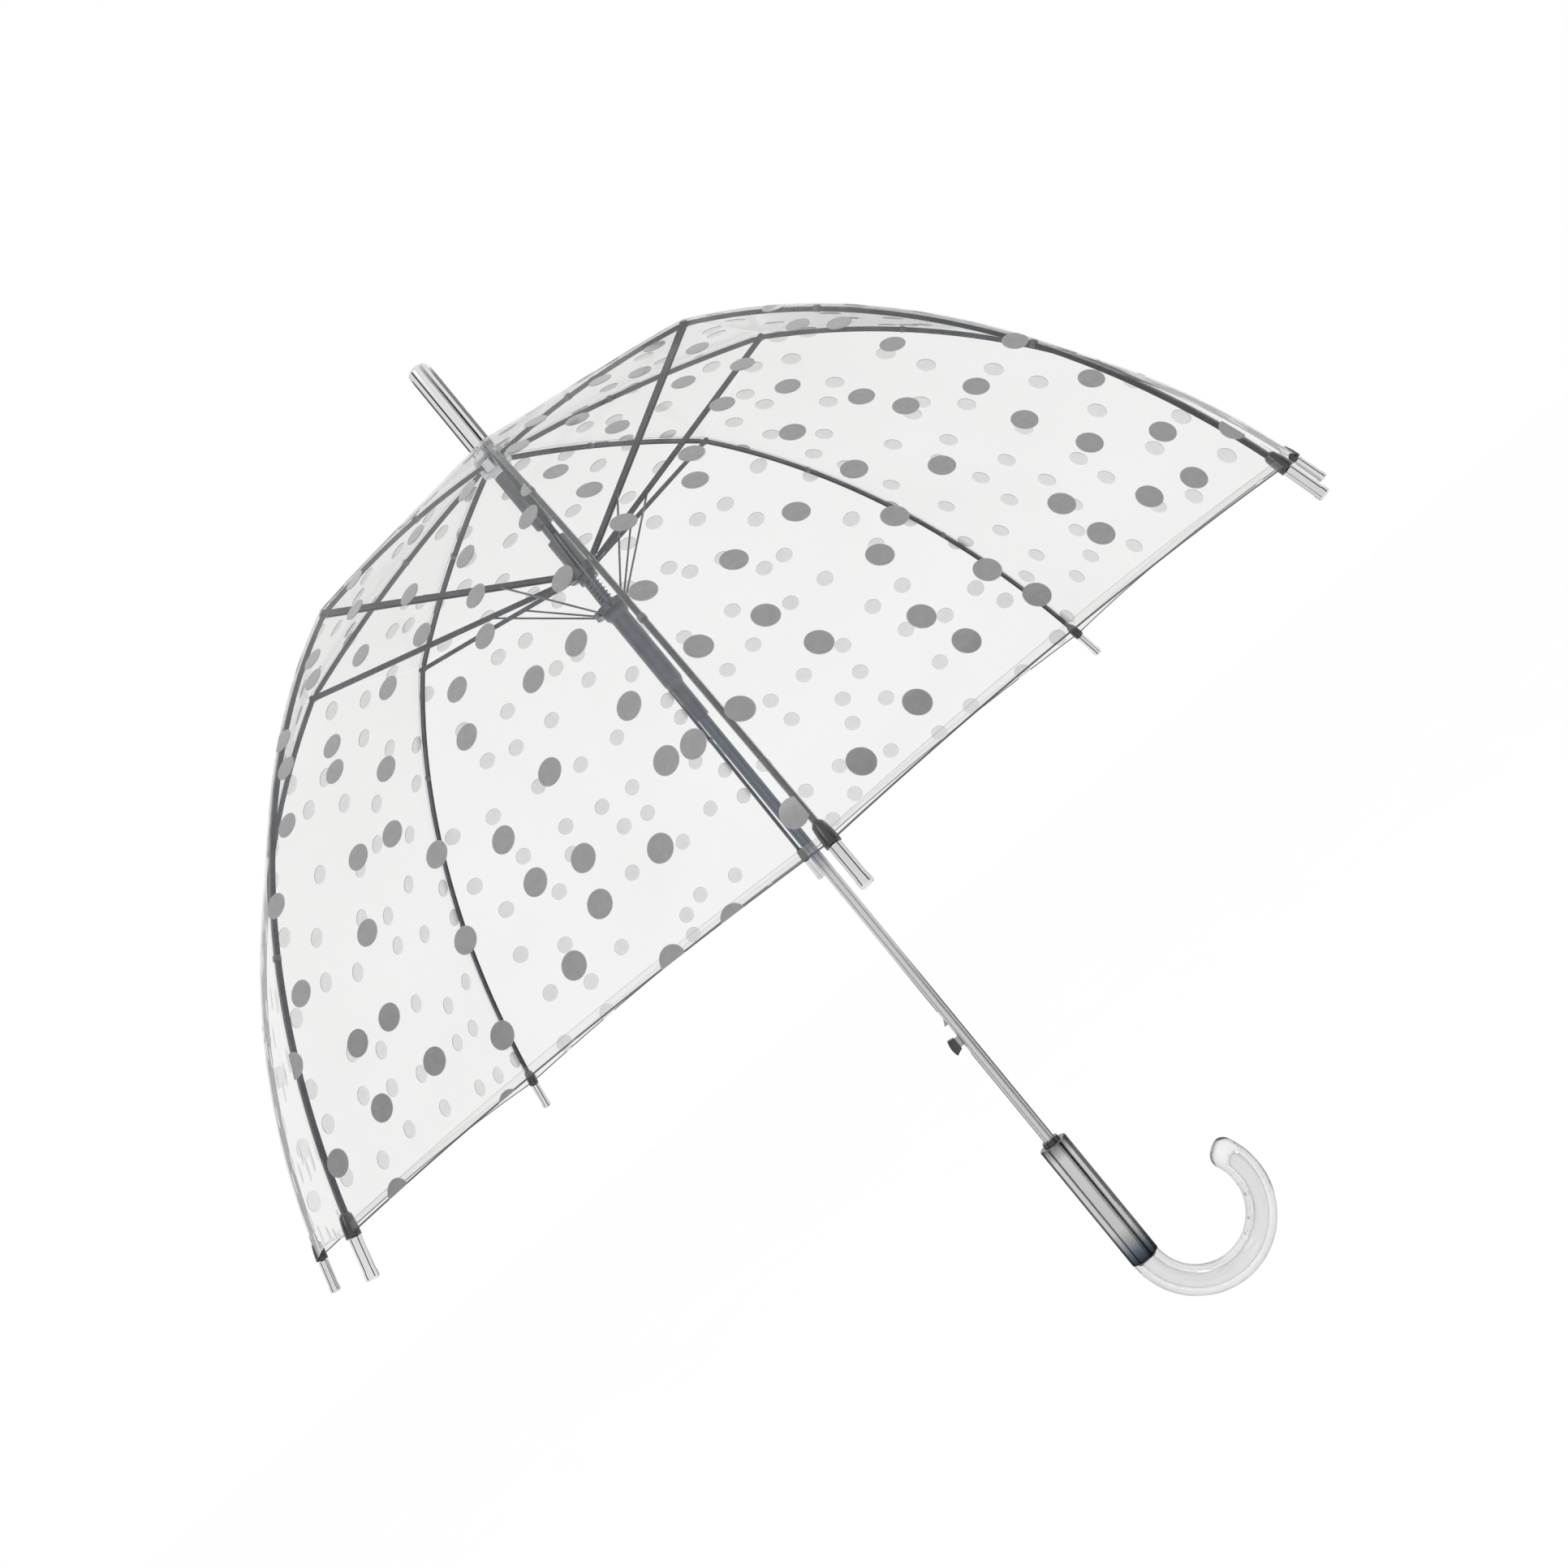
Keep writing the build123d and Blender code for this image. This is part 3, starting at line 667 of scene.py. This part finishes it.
# ---------------------------------------------------------------- floor, light and camera
FLOOR_DROP = 600 * MM
floor_mesh = bpy.data.meshes.new("floor")
reach, level = 12.0, cad_bounds[0][2] - FLOOR_DROP
floor_mesh.from_pydata(
    [(x * reach, y * reach, level) for x, y in ((-1, -1), (1, -1), (1, 1), (-1, 1))],
    [],
    [(0, 1, 2, 3)],
)
floor = bpy.data.objects.new("floor", floor_mesh)
bpy.context.scene.collection.objects.link(floor)
floor_material, floor_tree, floor_shader = start("floor_pale")
floor_tree.links.new(
    ramp(floor_tree, noise(floor_tree, 3.0), [(0.3, grey(0.985)), (0.7, grey(0.995))]),
    floor_shader.inputs["Base Color"],
)
floor_shader.inputs["Roughness"].default_value = 1.0
floor_shader.inputs["Specular IOR Level"].default_value = 0.0
floor_mesh.materials.append(floor_material)

world = bpy.data.worlds.new("studio")
world.use_nodes = True
world.node_tree.nodes["Background"].inputs["Color"].default_value = (1, 1, 1, 1)
world.node_tree.nodes["Background"].inputs["Strength"].default_value = 1.0
bpy.context.scene.world = world
bpy.context.scene.view_settings.view_transform = "Standard"


def card(name, centre, towards, width, height, value, through=False):
    """A studio card that the camera doesn't see: it gives the metals something dark to mirror."""
    mesh = bpy.data.meshes.new(name)
    mesh.from_pydata(
        [(x * width / 2, y * height / 2, 0) for x, y in ((-1, -1), (1, -1), (1, 1), (-1, 1))],
        [],
        [(0, 1, 2, 3)],
    )
    board = bpy.data.objects.new(name, mesh)
    bpy.context.scene.collection.objects.link(board)
    board.location = centre
    board.rotation_euler = (Vector(towards) - Vector(centre)).to_track_quat("Z", "Y").to_euler()
    material, tree, shader = start(name)
    shader.inputs["Base Color"].default_value = (*grey(value), 1)
    shader.inputs["Roughness"].default_value = 1.0
    shader.inputs["Specular IOR Level"].default_value = 0.0
    mesh.materials.append(material)
    board.visible_camera = False
    board.visible_shadow = False
    board.visible_diffuse = False
    board.visible_transmission = through


MIDDLE = (0, 0, -0.35)
card("card_left", (-1.6, -0.9, -0.2), MIDDLE, 0.5, 2.4, 0.01)
card("card_right", (1.5, -1.3, -0.4), MIDDLE, 0.6, 2.4, 0.01)
card("card_back", (0.6, 2.2, -0.3), MIDDLE, 0.4, 2.4, 0.02)


CARD_REACH = 0.17
CARD_SPREAD = (  # degrees from the front, width, grey
    (-132, 0.12, 0.16),
    (24, 0.014, 0.01),
    (36, 0.02, 0.01),
    (52, 0.006, 0.02),
    (122, 0.2, 0.2),
)


def cards_round(name, height, tall):
    """Near cards round the shaft: broad grey ones for dim sides, narrow dark ones for streaks."""
    for place, (angle, width, value) in enumerate(CARD_SPREAD):
        turn = radians(angle)
        centre = (CARD_REACH * sin(turn), -CARD_REACH * cos(turn), height)
        thin = width < 0.1
        card(f"{name}_{place + 1}", centre, (0, 0, height), width, tall, value, through=thin)


cards_round("card_grip", (sleeve_low.z + sleeve_high.z) / 2 + 0.03, 0.3)
cards_round("card_ferrule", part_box("ferrule")[1].z, 0.12)


def softbox(name, centre, size, watts):
    light = bpy.data.lights.new(name, "AREA")
    light.shape = "RECTANGLE"
    light.size, light.size_y = size
    light.energy = watts
    lamp = bpy.data.objects.new(name, light)
    lamp.location = centre
    lamp.rotation_euler = (Vector(MIDDLE) - Vector(centre)).to_track_quat("-Z", "Y").to_euler()
    bpy.context.scene.collection.objects.link(lamp)


softbox("softbox_key", (-0.9, -1.4, 1.3), (0.5, 1.2), 7)
softbox("softbox_rim", (1.3, 0.9, 0.9), (0.4, 1.2), 5)

# the camera is near the hem's height, a little to one side of rib 1, rolled so the shaft leans
EYE = Vector((-0.0236, -1.126, TIP[1] + 9 * MM))
AIM = Vector((0.0137, 0, -0.3))
LEAN = (-0.635, 0.7725)
camera_data = bpy.data.cameras.new("camera")
camera_data.sensor_width = 36
camera_data.lens = 38.86
camera_data.clip_start = 0.05
camera = bpy.data.objects.new("camera", camera_data)
bpy.context.scene.collection.objects.link(camera)
forward = (AIM - EYE).normalized()
shaft_up = (Vector((0, 0, 1)) - forward * forward.z).normalized()
shaft_side = forward.cross(shaft_up)
right = shaft_up * LEAN[0] + shaft_side * LEAN[1]
up = shaft_up * LEAN[1] - shaft_side * LEAN[0]
turned = Matrix((right, up, -forward)).transposed().to_4x4()
camera.matrix_world = Matrix.Translation(EYE) @ turned
bpy.context.scene.camera = camera
